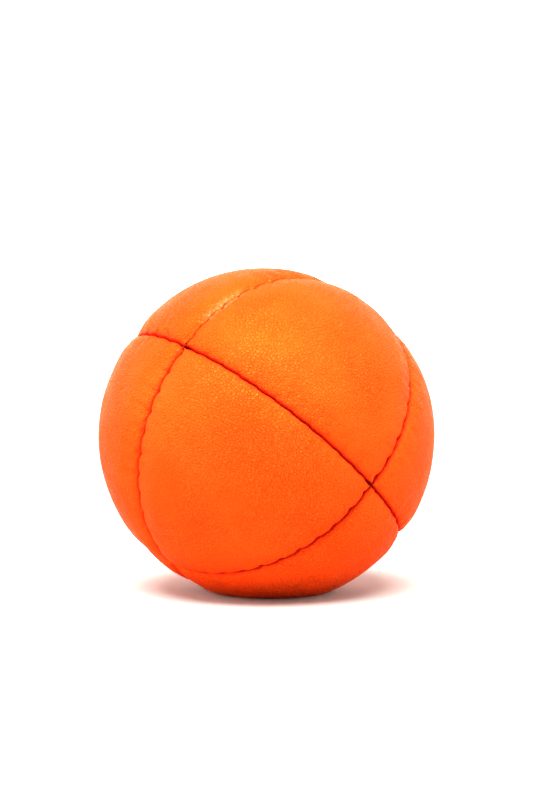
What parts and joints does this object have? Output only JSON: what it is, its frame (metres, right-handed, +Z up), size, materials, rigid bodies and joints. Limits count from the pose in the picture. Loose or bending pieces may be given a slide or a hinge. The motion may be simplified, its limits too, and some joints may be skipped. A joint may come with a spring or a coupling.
{
  "type": "weighted hand ball",
  "caption": "Hand-size weighted exercise ball of puffed triangular leather panels sewn edge to edge over a loose grain filling, lying on the flat that it settles on.",
  "frame": {"origin": "under the middle of the ball, on the surface that it lies on", "axes": "+Z up; the pictured side faces -Y and +X is to its right"},
  "size_m": [0.066, 0.0656, 0.0635],
  "materials": {
    "leather": "soft grained matte leather with a faint sheen",
    "thread": "twisted polyester sewing thread",
    "grain": "dull dry husk"
  },
  "bodies": {
    "root": {"panel_front": "leather", "panel_top": "leather", "panel_left": "leather", "panel_upper_left": "leather", "panel_bottom": "leather", "panel_right": "leather", "panel_back_low": "leather", "panel_back_high": "leather", "front_left_needle_thread": "thread", "front_left_bobbin_thread": "thread", "bottom_back_needle_thread": "thread", "bottom_back_bobbin_thread": "thread", "top_left_needle_thread": "thread", "top_left_bobbin_thread": "thread", "right_back_needle_thread": "thread", "right_back_bobbin_thread": "thread", "low_half_needle_thread": "thread", "low_half_bobbin_thread": "thread", "high_half_needle_thread": "thread", "high_half_bobbin_thread": "thread", "equator_needle_thread": "thread", "equator_bobbin_thread": "thread", "closing_thread": "thread", "filling": "grain"}
  },
  "joints": []
}
